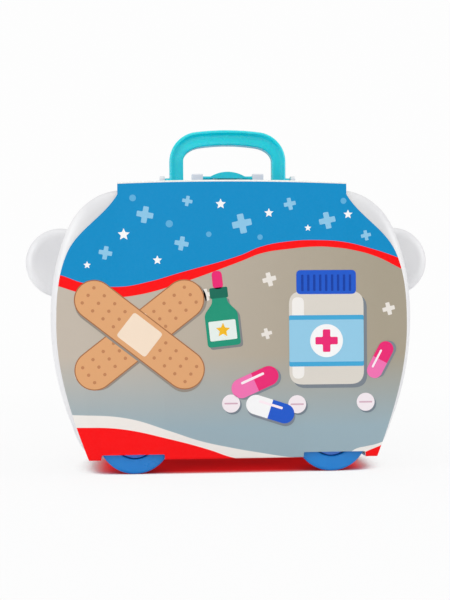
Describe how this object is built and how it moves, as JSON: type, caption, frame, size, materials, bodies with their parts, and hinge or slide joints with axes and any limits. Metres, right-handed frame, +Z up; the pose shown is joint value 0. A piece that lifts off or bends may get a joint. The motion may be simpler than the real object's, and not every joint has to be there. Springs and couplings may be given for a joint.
{
  "type": "toy doctor case",
  "caption": "Toy doctor's carry case: white clam-shell body with round ears, teal handle and latch, four blue wheels, toy instruments and a printed card sleeve.",
  "frame": {"origin": "on the floor, midway between the wheels, under the plane where the shells meet", "axes": "+X to the right seen from the front, +Y away from the front, +Z up"},
  "size_m": [0.2806, 0.102, 0.235],
  "materials": {
    "shell_white": "satin",
    "teal_plastic": "gloss",
    "wheel_blue": "gloss",
    "cap_white": "satin",
    "steel": "satin",
    "tray_blue": "gloss",
    "sleeve_card": "satin",
    "lid_card_print": "satin",
    "toy_pink": "gloss",
    "toy_rose": "gloss",
    "toy_hose": "satin"
  },
  "bodies": {
    "base": {"rear_shell": "shell_white", "sleeve_rear": "sleeve_card", "inner_tray": "tray_blue", "hinge_pin_left": "steel", "hinge_pin_right": "steel", "wheel_screw_rear_left": "steel", "wheel_screw_rear_right": "steel", "syringe_barrel": "toy_pink", "thermometer": "toy_rose", "hammer_head": "toy_rose", "hammer_handle": "toy_pink", "pump_bulb": "toy_rose", "stethoscope_headset": "toy_pink", "stethoscope_hose": "toy_hose", "stethoscope_chest_piece": "toy_pink"},
    "lid": {"front_shell": "shell_white", "sleeve_front": "sleeve_card", "lid_card": "lid_card_print", "wheel_screw_front_left": "steel", "wheel_screw_front_right": "steel"},
    "latch": {"latch": "teal_plastic"},
    "handle": {"handle": "teal_plastic"},
    "plunger": {"syringe_plunger": "toy_rose"},
    "wheel_front_left": {"wheel_front_left": "wheel_blue", "hub_cap_front_left": "cap_white"},
    "wheel_front_right": {"wheel_front_right": "wheel_blue", "hub_cap_front_right": "cap_white"},
    "wheel_rear_left": {"wheel_rear_left": "wheel_blue", "hub_cap_rear_left": "cap_white"},
    "wheel_rear_right": {"wheel_rear_right": "wheel_blue", "hub_cap_rear_right": "cap_white"}
  },
  "joints": [
    {"name": "lid_open", "type": "hinge", "parent": "base", "child": "lid", "pos_m": [0, 0, 0.0065], "axis": [1, 0, 0], "range_deg": [0, 100]},
    {"name": "handle_fold", "type": "hinge", "parent": "base", "child": "handle", "pos_m": [0, 0.009, 0.1983], "axis": [-1, 0, 0], "range_deg": [0, 90]},
    {"name": "latch_flip", "type": "hinge", "parent": "lid", "child": "latch", "pos_m": [0, -0.007, 0.1996], "axis": [1, 0, 0], "range_deg": [0, 110]},
    {"name": "plunger_slide", "type": "slide", "parent": "base", "child": "plunger", "axis": [0, 0, 1], "range_m": [-0.0235, 0.024]},
    {"name": "wheel_spin_front_left", "type": "hinge", "parent": "lid", "child": "wheel_front_left", "pos_m": [-0.0655, -0.0388, 0.02429], "axis": [0, 1, 0], "continuous": true},
    {"name": "wheel_spin_front_right", "type": "hinge", "parent": "lid", "child": "wheel_front_right", "pos_m": [0.0655, -0.0388, 0.02429], "axis": [0, 1, 0], "continuous": true},
    {"name": "wheel_spin_rear_left", "type": "hinge", "parent": "base", "child": "wheel_rear_left", "pos_m": [-0.0655, 0.0388, 0.02429], "axis": [0, 1, 0], "continuous": true},
    {"name": "wheel_spin_rear_right", "type": "hinge", "parent": "base", "child": "wheel_rear_right", "pos_m": [0.0655, 0.0388, 0.02429], "axis": [0, 1, 0], "continuous": true}
  ]
}
